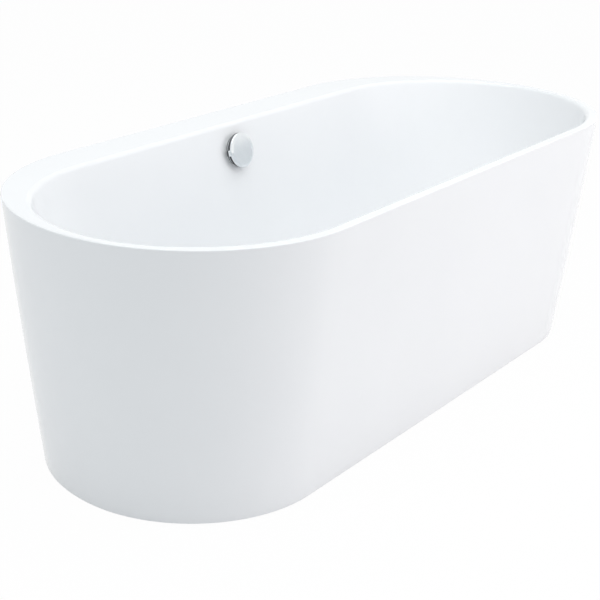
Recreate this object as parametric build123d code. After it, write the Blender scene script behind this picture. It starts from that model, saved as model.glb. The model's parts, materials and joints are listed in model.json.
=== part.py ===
from build123d import *
import os
from math import atan2, cos, radians, sin, tan

# Freestanding oval bathtub with a tap ledge, millimetres.
# The origin is on the floor under the middle of the bath and +Z is up. X runs along the bath, -Y is the
# front long side, and +Y is the back long side, which has the ledge and the turn knob of the overflow.

# ---- The bath's outline -------------------------------------------------------------------------------
bath_length = 1700
bath_width = 750
bath_height = 560
end_mid_y = -28  # the ends reach furthest on this line, which lies nearer the front
front_end_reach = 346  # length along X of the rounding at each front corner
back_end_reach = 394  # length along X of the rounding at each back corner
rim_width = 25  # flat rim along the front and round both ends
rim_thickness = 10
rim_outer_round = 3
rim_inner_round = 12

# ---- The outer skirt ----------------------------------------------------------------------------------
floor_gap = 3  # joint between the skirt and the floor
skirt_taper = 62  # the foot of the skirt lies this far inside the rim, all round
skirt_wall = 8

# ---- The basin ----------------------------------------------------------------------------------------
ledge_width = 99  # flat ledge behind the basin
basin_floor_height = 135  # top of the basin's floor above the ground
basin_wall = 7
rim_end_reach = 330  # length along X of the basin's rounded ends, at the rim
floor_end_reach = 215  # and at the floor
end_wall_run = 180  # the end walls lean out by this much between the floor and the rim
side_wall_run = 100  # and the long walls by this much
basin_floor_round = 100

# ---- Base board, frame and feet -----------------------------------------------------------------------
board_end_margin = 115  # from the foot of the basin's end walls in to the board
board_side_margin = 95
board_thickness = 16
board_waste_hole = 124
rail_size = 25
rail_wall = 2
long_rail_inset = 30  # from the board's ends in to the long rails' ends
long_rail_margin = 18  # from the board's long edges in to the long rails' centre lines
cross_rail_inset = 80  # from the long rails' ends in to the cross rails
cross_rail_gap = 29  # from the cross rails' ends out to the inside of the skirt
screw_diameter = 5
screw_head_diameter = 10
screw_head_height = 3
board_screw_bite = 12  # length of screw in the board
board_screw_spacing = 250
board_screw_count = 4  # in each long rail
fixing_clearance = 0.1  # round a screw, pin or plug-in end, on the radius

bracket_width = 40
bracket_thickness = 3
bracket_rise = 55
bracket_lap = 31  # how far a bracket's leg lies on the cross rail
glue_gap = 0.3  # between a bracket and the skirt

stud_diameter = 12
stud_above_rail = 12
foot_inset = 50  # from the cross rails' ends in to the feet
foot_nut_width = 19  # across flats
weld_nut_height = 10
lock_nut_height = 7
thread_clearance = 0.05
pad_diameter = 50
pad_thickness = 6
pad_boss_diameter = 24
pad_boss_height = 10

# ---- Waste --------------------------------------------------------------------------------------------
waste_hole = 52
waste_flange_diameter = 80
waste_flange_thickness = 2.5
waste_upper_seal_thickness = 1.5
waste_lower_seal_thickness = 3
sump_margin = 4  # between the waste flange and the edge of its recess
waste_tail_diameter = 50
waste_tail_bore = 44
waste_tail_length = 26
spoke_width = 4
spoke_height = 5
guide_diameter = 16
guide_height = 9
waste_body_height = 78
waste_body_diameter = 64
waste_body_wall = 4
waste_body_flange = 6
waste_socket_depth = 18

stem_diameter = 8
running_clearance = 0.05
plug_diameter = 66
plug_thickness = 6
plug_edge_round = 2.5
plug_seal_outer = 58
plug_seal_inner = 47
plug_seal_thickness = 3
seat_gap = 0.3  # between parts of different bodies that would otherwise touch
plug_socket_depth = 3

lever_reach = 18  # from the lever's pin to its nose, under the plug's stem
lever_pin_diameter = 4
lever_pin_height = 25  # above the bottom of the waste body
lever_hub_diameter = 10
lever_thickness = 8
lever_nose_radius = 4
lever_nose_gap = 0.35
cable_arm_length = 11
lever_arm_width = 6

# ---- Trap and outlet ----------------------------------------------------------------------------------
pipe_diameter = 40
pipe_bore = 34
waste_outlet_height = 27  # centre of the outlet above the bottom of the waste body
waste_outlet_reach = 54  # from the middle of the waste to the first pipe joint
trap_x = 120
trap_head_diameter = 80
trap_head_height = 57
trap_head_rise = 25  # top of the trap's head above the centre of its inlet
trap_wall = 3
trap_bowl_diameter = 70
trap_bowl_height = 42
trap_bowl_engage = 10
dip_tube_diameter = 34
dip_tube_bore = 28
dip_tube_below_head = 12
trap_outlet_offset = 4  # the outlet lies this much above the inlet
trap_outlet_reach = 56
trap_seal_thickness = 2
elbow_run = 24
elbow_radius = 32
spigot_length = 38
nut_wall = 6
nut_lap = 11  # how far a union nut laps over each of the two pipes that it joins

# ---- Overflow -----------------------------------------------------------------------------------------
overflow_drop = 64  # from the rim down to the middle of the overflow
overflow_hole = 52
overflow_flange_diameter = 68
overflow_flange_thickness = 2.5
overflow_inner_seal_thickness = 1.5
overflow_outer_seal_thickness = 3
overflow_tail_diameter = 50
overflow_tail_bore = 44
overflow_tail_length = 22
overflow_body_diameter = 62
overflow_body_wall = 4
overflow_body_flange_diameter = 74
overflow_body_flange = 4
overflow_body_depth = 38
overflow_back_plate = 4
overflow_spigot_reach = 62
overflow_spigot_inset = 2  # between the hose spigot's side and the back of the overflow body
hose_diameter = 28
hose_bore = 22
hose_spigot_diameter = 30
hose_inlet_height = 23  # centre of the hose inlet above the bottom of the waste body
hose_inlet_reach = 50

knob_diameter = 80
knob_stand_off = 10  # from the basin's wall to the back of the knob
knob_rim = 5
knob_cap_thickness = 6
knob_cap_wall = 3
knob_edge_round = 4
knob_carrier_thickness = 5
knob_carrier_inset = 0.3  # how far the carrier's edge lies inside the cap's
knob_web = 1.8
knob_collar_wall = 2
knob_collar_height = 2.5
knob_hub_diameter = 20
knob_hub_cover = 1.2
knob_lug_width = 14
knob_lug_reach = 7
knob_lug_thickness = 1.6  # of the cap's own lug, which lies on the carrier's
spindle_diameter = 10
spindle_engage = 12
grub_screw_diameter = 3
grub_screw_length = 4.5

drive_cover_diameter = 52
drive_cover_depth = 16
drive_cover_wall = 3
cable_drum_diameter = 28
cable_groove_depth = 2
cable_drum_width = 8
cable_drum_clear = 4  # from the back plate of the overflow body to the drum

cable_diameter = 6
cable_wire_hole = 2.5
cable_boss_diameter = 12
cable_boss_length = 12
cable_socket_depth = 6
cable_clip_length = 8
cable_clip_wall = 4
hose_corner_rise = 114  # height of the hose's first corner above the basin's underside
cable_upper_run = 44  # from the drive cover's socket to the cable's first corner
cable_lower_run = 56  # and from the last corner to the waste body's socket

# ---- Levels and places that follow from the sizes above -------------------------------------------------
basin_length = bath_length - 2 * rim_width
basin_width = bath_width - rim_width - ledge_width
basin_depth = bath_height - basin_floor_height
basin_mid_y = -bath_width / 2 + rim_width + basin_width / 2
skirt_height = bath_height - floor_gap
skirt_top = bath_height - rim_thickness

floor_top = bath_height - basin_depth
floor_under = floor_top - basin_wall
sump_depth = waste_flange_thickness + waste_upper_seal_thickness
sump_floor = floor_top - sump_depth
sump_under = sump_floor - basin_wall
sump_diameter = waste_flange_diameter + 2 * sump_margin

waste_flange_under = sump_floor + waste_upper_seal_thickness
waste_body_top = sump_under - waste_lower_seal_thickness
waste_body_bottom = waste_body_top - waste_body_height

board_under = floor_under - board_thickness
long_rail_under = board_under - rail_size
cross_rail_under = long_rail_under - rail_size
board_length = basin_length - 2 * end_wall_run - 2 * board_end_margin
board_width = basin_width - 2 * side_wall_run - 2 * board_side_margin
long_rail_length = board_length - 2 * long_rail_inset
long_rail_spread = board_width - 2 * long_rail_margin  # between their centre lines
cross_rail_x = long_rail_length / 2 - cross_rail_inset
skirt_draw_at_rail = skirt_taper * (bath_height - long_rail_under) / skirt_height
cross_rail_length = bath_width - 2 * (skirt_draw_at_rail + skirt_wall + cross_rail_gap)
foot_y = cross_rail_length / 2 - foot_inset

wall_lean = atan2(side_wall_run, basin_depth)
overflow_z = bath_height - overflow_drop
overflow_y = basin_mid_y + basin_width / 2 - overflow_drop * tan(wall_lean)
# The overflow's own frame lies on the basin's wall: its z points into the basin, its y up the wall.
overflow_plane = Plane(
    origin=(0, overflow_y, overflow_z),
    x_dir=(1, 0, 0),
    z_dir=(0, -cos(wall_lean), sin(wall_lean)),
)
waste_place = Pos(0, basin_mid_y, 0)

MIN_Z = (Align.CENTER, Align.CENTER, Align.MIN)


# ---- Simple bodies ------------------------------------------------------------------------------------
def rod(diameter, low, high):
    """A round bar along Z."""
    return Pos(0, 0, low) * Cylinder(diameter / 2, high - low, align=MIN_Z)


def ring(outer, inner, low, high):
    """A round tube or washer along Z."""
    return rod(outer, low, high) - rod(inner, low, high)


def hexagon(width_across_flats, low, high):
    """A six-sided bar along Z."""
    flats = RegularPolygon(width_across_flats / 2, 6, major_radius=False)
    return Pos(0, 0, low) * extrude(flats, high - low)


def along_x(body):
    """Turn a body that stands on +Z so that it points along +X."""
    return Rot(0, 90, 0) * body


def along_y(body):
    """Turn a body that stands on +Z so that it points along +Y."""
    return Rot(-90, 0, 0) * body


def union_nut(first_diameter, second_diameter):
    """An eight-sided nut over the joint of two pipes that meet at z = 0."""
    across = max(first_diameter, second_diameter) + 2 * nut_wall
    flats = RegularPolygon(across / 2, 8, major_radius=False)
    nut = Pos(0, 0, -nut_lap) * extrude(flats, 2 * nut_lap)
    nut -= rod(first_diameter + 2 * fixing_clearance, -nut_lap, 0)
    return nut - rod(second_diameter + 2 * fixing_clearance, 0, nut_lap)


def group(solids):
    """Separate solids that share one node."""
    return Compound(children=list(solids))


# ---- Basin and skirt ----------------------------------------------------------------------------------
def quarter_ended_outline(half_length, front_y, back_y, mid_y, front_reach, back_reach, z):
    """Two straight long sides joined at each end by two quarter ellipses that meet on the line mid_y."""
    front = mid_y - front_y
    back = back_y - mid_y
    front_x = half_length - front_reach
    back_x = half_length - back_reach
    edges = [
        Line((-front_x, front_y), (front_x, front_y)),
        EllipticalCenterArc((front_x, mid_y), front_reach, front, start_angle=270, arc_size=90),
        EllipticalCenterArc((back_x, mid_y), back_reach, back, start_angle=0, arc_size=90),
        Line((back_x, back_y), (-back_x, back_y)),
        EllipticalCenterArc((-back_x, mid_y), back_reach, back, start_angle=90, arc_size=90),
        EllipticalCenterArc((-front_x, mid_y), front_reach, front, start_angle=180, arc_size=90),
    ]
    return Pos(0, 0, z) * make_face(edges)


def skirt_outline(z, inset=0):
    """The bath's outside at height z, drawn in by inset. The taper is the same all round."""
    drawn_in = skirt_taper * (bath_height - z) / skirt_height + inset
    return quarter_ended_outline(
        bath_length / 2 - drawn_in,
        -bath_width / 2 + drawn_in,
        bath_width / 2 - drawn_in,
        end_mid_y,
        front_end_reach - drawn_in,
        back_end_reach - drawn_in,
        z,
    )


def basin_outline(z, grow=0):
    """The basin's inside at height z, let out by grow. Each end is half an ellipse."""
    share = (bath_height - z) / basin_depth
    half_width = basin_width / 2 - side_wall_run * share + grow
    reach = rim_end_reach + (floor_end_reach - rim_end_reach) * share + grow
    return quarter_ended_outline(
        basin_length / 2 - end_wall_run * share + grow,
        basin_mid_y - half_width,
        basin_mid_y + half_width,
        basin_mid_y,
        reach,
        reach,
        z,
    )


def bowl(low, high, grow, floor_round):
    """A solid the shape of the basin, with its floor edge rounded."""
    solid = loft([basin_outline(low, grow), basin_outline(high, grow)], ruled=True)
    floor_edges = solid.edges().group_by(Axis.Z)[0]
    return fillet(floor_edges, floor_round)


def make_basin_shell():
    """Moulded inner shell: bowl, flat rim and ledge, with the recess for the waste and both holes."""
    rim = loft([skirt_outline(skirt_top), skirt_outline(bath_height)], ruled=True)
    rim = fillet(rim.edges().group_by(Axis.Z)[-1], rim_outer_round)
    shell = rim + bowl(floor_under, skirt_top, basin_wall, basin_floor_round + basin_wall)
    sump_pad_diameter = sump_diameter + 2 * basin_wall
    shell += waste_place * rod(sump_pad_diameter, sump_under, floor_top)
    shell -= bowl(floor_top, bath_height, 0, basin_floor_round)
    top_face = shell.faces().sort_by(Axis.Z)[-1]
    mouth_edges = top_face.inner_wires()[0].edges()
    shell = fillet(mouth_edges, rim_inner_round)
    shell -= waste_place * rod(sump_diameter, sump_floor, floor_top + basin_floor_round)
    shell -= waste_place * rod(waste_hole, sump_under, sump_floor)
    return shell - overflow_plane.location * rod(overflow_hole, -4 * basin_wall, 4 * basin_wall)


def make_outer_skirt():
    """One-piece apron that stands under the rim, tapering evenly to the floor."""
    outside = loft([skirt_outline(floor_gap), skirt_outline(skirt_top)], ruled=True)
    inside = loft([skirt_outline(floor_gap, skirt_wall), skirt_outline(skirt_top, skirt_wall)], ruled=True)
    return outside - inside


def skirt_inside_y(z):
    """Distance from the bath's middle line to the inside of a long side of the skirt."""
    return bath_width / 2 - skirt_taper * (bath_height - z) / skirt_height - skirt_wall


# ---- Base board, frame and feet -----------------------------------------------------------------------
def long_rail_y(side):
    """Centre line of the front (side -1) or back (side +1) long rail."""
    return basin_mid_y + side * long_rail_spread / 2


def board_screw_places():
    """Middle of each wood screw, in a row along each long rail."""
    first = -(board_screw_count - 1) / 2 * board_screw_spacing
    return [
        Pos(first + number * board_screw_spacing, long_rail_y(side), long_rail_under)
        for side in (-1, 1)
        for number in range(board_screw_count)
    ]


def board_screw_hole():
    """Clearance hole through a rail and into the board."""
    return rod(screw_diameter + 2 * fixing_clearance, 0, rail_size + board_screw_bite + 1)


def make_base_board():
    """Board bonded under the basin's flat floor, which spreads the load on to the frame."""
    outline = SlotOverall(board_length, board_width)
    board = Pos(0, basin_mid_y, board_under) * extrude(outline, board_thickness)
    board -= waste_place * rod(board_waste_hole, board_under, floor_under)
    for place in board_screw_places():
        board -= place * board_screw_hole()
    return board


def square_tube(length):
    """Square steel tube along X, its underside on z = 0."""
    low = (Align.CENTER, Align.CENTER, Align.MIN)
    hollow = rail_size - 2 * rail_wall
    return Box(length, rail_size, rail_size, align=low) - Pos(0, 0, rail_wall) * Box(
        length, hollow, hollow, align=low
    )


def make_long_rail(side):
    """Long rail, drilled for the wood screws that hold the board."""
    rail = Pos(0, long_rail_y(side), long_rail_under) * square_tube(long_rail_length)
    for place in board_screw_places():
        rail -= place * board_screw_hole()
    return rail


def make_cross_rail(end):
    """Cross rail, welded under the long rails, drilled for a foot and a bracket screw at each end."""
    rail = Pos(end * cross_rail_x, 0, cross_rail_under) * Rot(0, 0, 90) * square_tube(cross_rail_length)
    for side in (-1, 1):
        stud_hole = rod(stud_diameter + 2 * thread_clearance, 0, rail_size)
        rail -= Pos(end * cross_rail_x, side * foot_y, cross_rail_under) * stud_hole
        rail -= bracket_screw_place(end, side) * bracket_screw_hole()
    return rail


def make_board_screws():
    """Wood screws driven up through the long rails into the board."""
    head = rod(screw_head_diameter, -screw_head_height, 0)
    screw = head + rod(screw_diameter, 0, rail_size + board_screw_bite)
    return group(place * screw for place in board_screw_places())


def bracket_tip_y():
    """Outside of a bracket's foot, where its upright meets the skirt."""
    return skirt_inside_y(long_rail_under) - glue_gap


def bracket_screw_place(end, side):
    """Middle of a bracket screw, on top of the cross rail's end."""
    y = side * (cross_rail_length / 2 - bracket_lap / 2)
    return Pos(end * cross_rail_x, y, long_rail_under)


def bracket_screw_hole():
    """Hole through the bracket and the top wall of the rail."""
    return rod(screw_diameter + 2 * fixing_clearance, -rail_wall, bracket_thickness)


def make_skirt_brackets():
    """Folded steel angles on the cross rails' ends; their uprights are bonded to the skirt's lean."""
    top = long_rail_under + bracket_rise
    leg_top = long_rail_under + bracket_thickness
    leg_end = cross_rail_length / 2 - bracket_lap
    foot_outside = bracket_tip_y()
    head_outside = skirt_inside_y(top) - glue_gap
    profile = make_face(
        Polyline(
            (foot_outside, long_rail_under),
            (head_outside, top),
            (head_outside - bracket_thickness, top),
            (foot_outside - bracket_thickness, leg_top),
            (leg_end, leg_top),
            (leg_end, long_rail_under),
            close=True,
        )
    )
    angle = extrude(Plane.YZ * profile, bracket_width / 2, both=True)
    brackets = []
    for end in (-1, 1):
        for side in (-1, 1):
            turned = angle if side > 0 else mirror(angle, about=Plane.XZ)
            bracket = Pos(end * cross_rail_x, 0, 0) * turned
            brackets.append(bracket - bracket_screw_place(end, side) * bracket_screw_hole())
    return group(brackets)


def make_bracket_screws():
    """Short self-tapping screws that hold the brackets on the cross rails."""
    screw = rod(screw_diameter, -rail_wall, bracket_thickness)
    screw += rod(screw_head_diameter, bracket_thickness, bracket_thickness + screw_head_height)
    return group(bracket_screw_place(end, side) * screw for end in (-1, 1) for side in (-1, 1))


def foot_place(end, side):
    """Axis of a foot, on the floor."""
    return Pos(end * cross_rail_x, side * foot_y, 0)


def make_foot_nuts(height, top):
    """The same nut under each end of the cross rails, threaded on the stud."""
    nut = hexagon(foot_nut_width, top - height, top)
    nut -= rod(stud_diameter + 2 * thread_clearance, top - height, top)
    return group(foot_place(end, side) * nut for end in (-1, 1) for side in (-1, 1))


def make_foot_stud(end, side):
    """Threaded stud of a levelling foot, from its pad to just above the cross rail."""
    return foot_place(end, side) * rod(stud_diameter, pad_thickness, long_rail_under + stud_above_rail)


def make_foot_pad(end, side):
    """Moulded pad with a conical boss that takes the stud."""
    plate = rod(pad_diameter, 0, pad_thickness)
    boss = Pos(0, 0, pad_thickness) * Cone(
        pad_diameter / 2, pad_boss_diameter / 2, pad_boss_height, align=MIN_Z
    )
    socket = rod(stud_diameter + 2 * thread_clearance, pad_thickness, pad_thickness + pad_boss_height)
    return foot_place(end, side) * (plate + boss - socket)


# ---- Waste and plug -----------------------------------------------------------------------------------
def make_waste_flange():
    """Chromed flange in the basin's recess; its tail screws into the waste body and guides the plug."""
    flange = ring(waste_flange_diameter, waste_tail_bore, waste_flange_under, floor_top)
    tail_bottom = waste_flange_under - waste_tail_length
    flange += ring(waste_tail_diameter, waste_tail_bore, tail_bottom, waste_flange_under)
    wall_middle = (waste_tail_diameter + waste_tail_bore) / 2
    spokes = Pos(0, 0, tail_bottom) * Box(wall_middle, spoke_width, spoke_height, align=MIN_Z)
    spokes += Pos(0, 0, tail_bottom) * Box(spoke_width, wall_middle, spoke_height, align=MIN_Z)
    flange += spokes + rod(guide_diameter, tail_bottom, tail_bottom + guide_height)
    flange -= rod(stem_diameter + 2 * running_clearance, tail_bottom, tail_bottom + guide_height)
    return waste_place * flange


def make_waste_upper_seal():
    """Rubber ring under the flange."""
    return waste_place * ring(waste_flange_diameter, waste_hole, sump_floor, waste_flange_under)


def make_waste_lower_seal():
    """Rubber ring between the basin's underside and the waste body."""
    return waste_place * ring(waste_flange_diameter, waste_hole, waste_body_top, sump_under)


def lever_pivot_z():
    """Height of the lever's pin."""
    return waste_body_bottom + lever_pin_height


def cable_boss_z():
    """Height at which the cable's wire pulls the lever."""
    return lever_pivot_z() + cable_arm_length


def side_spigot(outer, inner, start, reach, z):
    """A pipe stub along +X at height z, and its bore."""
    return Pos(start, 0, z) * along_x(rod(outer, 0, reach - start)), Pos(0, 0, z) * along_x(
        rod(inner, 0, reach)
    )


def cable_boss():
    """Socket for the cable's sheath, along +Z from z = 0, and the hole for its wire."""
    boss = rod(cable_boss_diameter, 0, cable_boss_length)
    socket_start = cable_boss_length - cable_socket_depth
    socket = rod(cable_diameter + 2 * fixing_clearance, socket_start, cable_boss_length)
    return boss, socket + rod(cable_wire_hole, -waste_body_wall, cable_boss_length)


def make_waste_body():
    """Moulded chamber under the basin: socket for the flange, outlet, hose inlet and cable entry."""
    inner_diameter = waste_body_diameter - 2 * waste_body_wall
    wall_middle = (waste_body_diameter + inner_diameter) / 4
    outlet_z = waste_body_bottom + waste_outlet_height
    inlet_z = waste_body_bottom + hose_inlet_height
    outlet, outlet_bore = side_spigot(pipe_diameter, pipe_bore, wall_middle, waste_outlet_reach, outlet_z)
    inlet, inlet_bore = side_spigot(hose_spigot_diameter, hose_bore, wall_middle, hose_inlet_reach, inlet_z)
    boss, boss_hole = cable_boss()
    boss_place = Pos(-wall_middle, 0, cable_boss_z()) * Rot(0, -90, 0)
    body = rod(waste_body_diameter, waste_body_bottom, waste_body_top)
    body += rod(waste_flange_diameter, waste_body_top - waste_body_flange, waste_body_top)
    body += outlet + Rot(0, 0, 90) * inlet + boss_place * boss
    socket_bottom = waste_body_top - waste_socket_depth
    body -= rod(inner_diameter, waste_body_bottom + waste_body_wall, socket_bottom)
    body -= rod(waste_tail_diameter + 2 * fixing_clearance, socket_bottom, waste_body_top)
    body -= outlet_bore + Rot(0, 0, 90) * inlet_bore
    body -= boss_place * boss_hole
    pin_hole = Rot(-90, 0, 0) * Cylinder(lever_pin_diameter / 2, waste_body_diameter)
    body -= Pos(-lever_reach, 0, lever_pivot_z()) * pin_hole
    return waste_place * body


def lever_pin_length():
    """Length of the lever's pin, flush with the outside of the round chamber."""
    half = (waste_body_diameter / 2) ** 2 - (lever_reach + lever_pin_diameter / 2) ** 2
    return 2 * half**0.5


def make_lever_pin():
    """Pin across the chamber, on which the lever turns."""
    pin = Rot(-90, 0, 0) * Cylinder(lever_pin_diameter / 2, lever_pin_length())
    return waste_place * Pos(-lever_reach, 0, lever_pivot_z()) * pin


def make_lift_lever():
    """Bell crank: the cable pulls its upright arm and its nose pushes up the plug's stem."""
    hub = Cylinder(lever_hub_diameter / 2, lever_thickness)
    nose = Pos(lever_reach, 0) * Cylinder(lever_nose_radius, lever_thickness)
    nose_arm = Pos(lever_reach / 2, 0) * Box(lever_reach, lever_arm_width, lever_thickness)
    cable_eye = Pos(0, cable_arm_length) * Cylinder(lever_arm_width / 2, lever_thickness)
    cable_arm = Pos(0, cable_arm_length / 2) * Box(lever_arm_width, cable_arm_length, lever_thickness)
    lever = hub + nose + nose_arm + cable_eye + cable_arm
    lever -= Cylinder(lever_pin_diameter / 2 + running_clearance, lever_thickness)
    lever -= Pos(0, cable_arm_length) * Cylinder(cable_wire_hole / 2, lever_thickness)
    return waste_place * Pos(-lever_reach, 0, lever_pivot_z()) * Rot(90, 0, 0) * lever


def plug_under():
    """Underside of the closed plug's cap."""
    return floor_top + seat_gap + plug_seal_thickness


def make_drain_plug():
    """Domed chromed cap with a blind socket for its stem."""
    cap = rod(plug_diameter, plug_under(), plug_under() + plug_thickness)
    cap = fillet(cap.edges().group_by(Axis.Z)[-1], plug_edge_round)
    socket = rod(stem_diameter + 2 * running_clearance, plug_under(), plug_under() + plug_socket_depth)
    return waste_place * (cap - socket)


def make_plug_seal():
    """Rubber ring under the cap."""
    return waste_place * ring(plug_seal_outer, plug_seal_inner, floor_top + seat_gap, plug_under())


def make_plug_stem():
    """Stem from the cap down through the flange's guide to the lever's nose."""
    bottom = lever_pivot_z() + lever_nose_radius + lever_nose_gap
    return waste_place * rod(stem_diameter, bottom, plug_under() + plug_socket_depth)


# ---- Trap and outlet ----------------------------------------------------------------------------------
def trap_inlet_z():
    """Centre of the pipe between the waste body and the trap."""
    return waste_body_bottom + waste_outlet_height


def trap_outlet_z():
    """Centre of the trap's outlet."""
    return trap_inlet_z() + trap_outlet_offset


def head_top():
    """Top of the trap's head."""
    return trap_inlet_z() + trap_head_rise


def make_trap_head():
    """Head of the bottle trap: inlet to a dip tube, outlet at the side, open below for the bowl."""
    low = head_top() - trap_head_height
    head = rod(trap_head_diameter, low, head_top())
    head -= rod(trap_head_diameter - 2 * trap_wall, low, head_top() - trap_wall)
    wall_middle = trap_head_diameter / 2 - trap_wall / 2
    outlet, outlet_bore = side_spigot(
        pipe_diameter, pipe_bore, wall_middle, trap_outlet_reach, trap_outlet_z()
    )
    inlet_reach = trap_x - waste_outlet_reach
    inlet, inlet_bore = side_spigot(pipe_diameter, pipe_bore, 0, inlet_reach, trap_inlet_z())
    dip_bottom = low - dip_tube_below_head
    head += rod(dip_tube_diameter, dip_bottom, head_top() - trap_wall)
    head += outlet + Rot(0, 0, 180) * inlet
    head -= rod(dip_tube_bore, dip_bottom, head_top() - trap_wall)
    head -= outlet_bore - rod(dip_tube_diameter, dip_bottom, head_top())
    head -= Rot(0, 0, 180) * inlet_bore
    return waste_place * Pos(trap_x, 0, 0) * head


def make_trap_seal():
    """Rubber ring between the trap's bowl and its head."""
    low = head_top() - trap_head_height
    bore = trap_bowl_diameter + 2 * fixing_clearance
    seal = ring(trap_head_diameter, bore, low - trap_seal_thickness, low)
    return waste_place * Pos(trap_x, 0, 0) * seal


def make_trap_bowl():
    """Bowl that holds the water seal, screwed up into the head; its collar presses on the seal."""
    head_low = head_top() - trap_head_height
    collar_top = head_low - trap_seal_thickness
    rim = head_low + trap_bowl_engage
    bottom = rim - trap_bowl_height
    bowl_body = rod(trap_bowl_diameter, bottom, rim)
    bowl_body += rod(trap_head_diameter, collar_top - trap_wall, collar_top)
    bowl_body -= rod(trap_bowl_diameter - 2 * trap_wall, bottom + trap_wall, rim)
    return waste_place * Pos(trap_x, 0, 0) * bowl_body


def make_trap_inlet_nut():
    """Union nut on the joint between the waste body and the trap."""
    nut = along_x(union_nut(pipe_diameter, pipe_diameter))
    return waste_place * Pos(waste_outlet_reach, 0, trap_inlet_z()) * nut


def make_outlet_nut():
    """Union nut on the joint between the trap and its outlet elbow."""
    nut = along_x(union_nut(pipe_diameter, pipe_diameter))
    return waste_place * Pos(trap_x + trap_outlet_reach, 0, trap_outlet_z()) * nut


def elbow_pipe(diameter):
    """Solid of the elbow's course at one diameter: level run, quarter turn and spigot down."""
    turn_plane = Plane(origin=(elbow_run, 0, -elbow_radius), x_dir=(0, 0, 1), z_dir=(-1, 0, 0))
    turn = revolve(turn_plane * Pos(elbow_radius, 0) * Circle(diameter / 2), elbow_turn_axis(), 90)
    spigot = rod(diameter, -elbow_radius - spigot_length, -elbow_radius)
    return along_x(rod(diameter, 0, elbow_run)) + turn + Pos(elbow_run + elbow_radius, 0, 0) * spigot


def elbow_turn_axis():
    """Axis of the elbow's quarter turn, in the elbow's own frame."""
    return Axis((elbow_run, 0, -elbow_radius), (0, 1, 0))


def make_outlet_elbow():
    """Elbow that turns the waste water down to the drain in the floor."""
    place = waste_place * Pos(trap_x + trap_outlet_reach, 0, trap_outlet_z())
    return place * (elbow_pipe(pipe_diameter) - elbow_pipe(pipe_bore))


# ---- Overflow and knob, drawn on the wall's own plane ---------------------------------------------------
overflow_place = overflow_plane.location
wall_outside = -basin_wall * cos(wall_lean)
overflow_body_front = wall_outside - overflow_outer_seal_thickness
overflow_flange_under = overflow_inner_seal_thickness
overflow_flange_top = overflow_flange_under + overflow_flange_thickness
overflow_body_back = overflow_body_front - overflow_body_flange - overflow_body_depth
overflow_chamber_back = overflow_body_back + overflow_back_plate
overflow_spigot_z = overflow_body_back + overflow_spigot_inset + hose_spigot_diameter / 2
drive_cover_back = overflow_body_back - drive_cover_depth
cable_drum_front = overflow_body_back - cable_drum_clear
cable_drum_back = cable_drum_front - cable_drum_width
cable_drum_middle = (cable_drum_front + cable_drum_back) / 2
cable_exit_x = -cable_drum_diameter / 2


def down_the_wall(body):
    """Turn a body that stands on +Z so that it points down the basin's wall."""
    return Rot(90, 0, 0) * body


def make_overflow_flange():
    """Ring inside the basin, behind the knob; its tail screws into the overflow body."""
    flange = ring(overflow_flange_diameter, overflow_tail_bore, overflow_flange_under, overflow_flange_top)
    tail_back = overflow_flange_under - overflow_tail_length
    flange += ring(overflow_tail_diameter, overflow_tail_bore, tail_back, overflow_flange_under)
    wall_middle = (overflow_tail_diameter + overflow_tail_bore) / 2
    spoke_place = Pos(0, 0, overflow_flange_top - spoke_height)
    flange += spoke_place * Box(wall_middle, spoke_width, spoke_height, align=MIN_Z)
    flange += spoke_place * Box(spoke_width, wall_middle, spoke_height, align=MIN_Z)
    flange += rod(guide_diameter, overflow_flange_top - guide_height, overflow_flange_top)
    spindle_bore = rod(
        spindle_diameter + 2 * running_clearance, overflow_flange_top - guide_height, overflow_flange_top
    )
    return overflow_place * (flange - spindle_bore)


def make_overflow_inner_seal():
    """Thin rubber ring between the flange and the basin's wall."""
    return overflow_place * ring(overflow_flange_diameter, overflow_hole, 0, overflow_flange_under)


def make_overflow_outer_seal():
    """Rubber ring between the outside of the basin's wall and the overflow body."""
    seal = ring(overflow_body_flange_diameter, overflow_hole, overflow_body_front, wall_outside)
    return overflow_place * seal


def make_overflow_body():
    """Moulded box behind the wall: socket for the flange, spindle bearing and hose spigot."""
    flange_back = overflow_body_front - overflow_body_flange
    socket_back = overflow_flange_under - overflow_tail_length - fixing_clearance
    inner_diameter = overflow_body_diameter - 2 * overflow_body_wall
    wall_middle = (overflow_body_diameter + inner_diameter) / 4
    spigot = down_the_wall(rod(hose_spigot_diameter, wall_middle, overflow_spigot_reach))
    spigot_bore = down_the_wall(rod(hose_bore, 0, overflow_spigot_reach))
    body = rod(overflow_body_diameter, overflow_body_back, overflow_body_front)
    body += rod(overflow_body_flange_diameter, flange_back, overflow_body_front)
    body += Pos(0, 0, overflow_spigot_z) * spigot
    body -= rod(inner_diameter, overflow_chamber_back, socket_back)
    body -= rod(overflow_tail_diameter + 2 * fixing_clearance, socket_back, overflow_body_front)
    body -= Pos(0, 0, overflow_spigot_z) * spigot_bore
    body -= rod(spindle_diameter + 2 * running_clearance, overflow_body_back, overflow_chamber_back)
    return overflow_place * body


def cover_boss_start():
    """Where the cable's socket starts inside the drive cover's wall, below the spindle."""
    edge = (drive_cover_diameter / 2) ** 2 - cable_exit_x**2
    return edge**0.5 - drive_cover_wall


def make_drive_cover():
    """Cover over the cable drum, with the socket for the cable's sheath."""
    boss, boss_hole = cable_boss()
    boss_place = Pos(cable_exit_x, 0, cable_drum_middle) * Rot(90, 0, 0) * Pos(0, 0, cover_boss_start())
    cover = rod(drive_cover_diameter, drive_cover_back, overflow_body_back)
    cover += boss_place * boss
    cover -= rod(
        drive_cover_diameter - 2 * drive_cover_wall, drive_cover_back + drive_cover_wall, overflow_body_back
    )
    return overflow_place * (cover - boss_place * boss_hole)


def knob_seam():
    """Level where the knob's cap lies on its carrier."""
    return knob_stand_off + knob_carrier_thickness


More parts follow.
